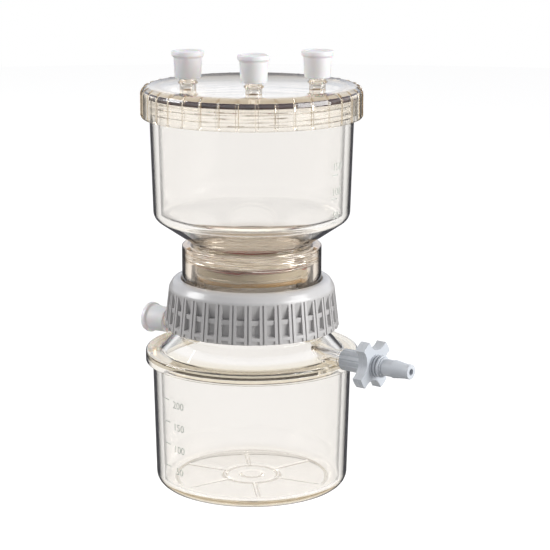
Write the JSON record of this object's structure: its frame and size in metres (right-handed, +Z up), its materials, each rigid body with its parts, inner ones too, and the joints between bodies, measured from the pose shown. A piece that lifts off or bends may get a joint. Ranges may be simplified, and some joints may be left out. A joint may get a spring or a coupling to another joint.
{
  "type": "vacuum filtration unit",
  "caption": "Clear filtration unit: screw-covered upper chamber clamped by a lock ring over a membrane, onto a receiver with a capped port and a vacuum hose fitting.",
  "frame": {"origin": "centre of the receiver's foot, in the plane that it stands on", "axes": "+Z up along the unit's axis, +X along the vacuum port and its hose fitting, the capped side port along -X"},
  "size_m": [0.1427, 0.096, 0.194],
  "materials": {
    "clear_polysulfone": "clear, faintly amber moulded plastic, polished",
    "cover_polysulfone": "clear amber moulded plastic, polished",
    "ring_polypropylene": "light grey satin moulding",
    "fitting_polypropylene": "bluish grey satin moulding",
    "cap_elastomer": "milky translucent soft moulding",
    "red_silicone": "dark red smooth gasket",
    "amber_silicone": "amber smooth gasket",
    "support_plastic": "warm grey perforated moulding",
    "membrane": "white matt membrane"
  },
  "bodies": {
    "receiver": {"receiver_cup": "clear_polysulfone", "receiver_shoulder": "clear_polysulfone", "support_gasket": "amber_silicone", "support_plate": "support_plastic", "membrane_filter": "membrane"},
    "chamber": {"upper_chamber": "clear_polysulfone", "neck_collar": "clear_polysulfone", "spout_gasket": "red_silicone"},
    "ring": {"locking_ring": "ring_polypropylene"},
    "seal": {"cover_seal": "red_silicone"},
    "lid": {"cover": "cover_polysulfone"},
    "cap_left": {"cover_cap_left": "cap_elastomer"},
    "cap_middle": {"cover_cap_middle": "cap_elastomer"},
    "cap_right": {"cover_cap_right": "cap_elastomer"},
    "side_cap": {"side_port_cap": "cap_elastomer"},
    "socket": {"vacuum_socket": "fitting_polypropylene"},
    "connector": {"hose_connector": "fitting_polypropylene"}
  },
  "joints": [
    {"name": "chamber_lift", "type": "slide", "parent": "receiver", "child": "chamber", "axis": [0, 0, 1], "range_m": [0, 0.00751]},
    {"name": "ring_turn", "type": "hinge", "parent": "chamber", "child": "ring", "pos_m": [0, 0, 0.08], "axis": [0, 0, 1], "range_deg": [0, 540]},
    {"name": "cover_lift", "type": "slide", "parent": "chamber", "child": "seal", "axis": [0, 0, 1], "range_m": [0, 0.00601]},
    {"name": "cover_turn", "type": "hinge", "parent": "seal", "child": "lid", "pos_m": [0, 0, 0.17], "axis": [0, 0, 1], "range_deg": [0, 720]},
    {"name": "cap_left_pull", "type": "slide", "parent": "lid", "child": "cap_left", "axis": [0, 0, 1], "range_m": [0, 0.01]},
    {"name": "cap_middle_pull", "type": "slide", "parent": "lid", "child": "cap_middle", "axis": [0, 0, 1], "range_m": [0, 0.01]},
    {"name": "cap_right_pull", "type": "slide", "parent": "lid", "child": "cap_right", "axis": [0, 0, 1], "range_m": [0, 0.01]},
    {"name": "side_cap_pull", "type": "slide", "parent": "receiver", "child": "side_cap", "axis": [-1, 0, 0], "range_m": [0, 0.01]},
    {"name": "socket_pull", "type": "slide", "parent": "receiver", "child": "socket", "axis": [1, 0, 0], "range_m": [0, 0.01]},
    {"name": "connector_pull", "type": "slide", "parent": "socket", "child": "connector", "axis": [1, 0, 0], "range_m": [0, 0.008]}
  ],
  "couplings": [
    {"joint": "chamber_lift", "follows": "ring_turn", "m_per_rad": 0.00079577},
    {"joint": "cover_lift", "follows": "cover_turn", "m_per_rad": 0.00047746}
  ]
}
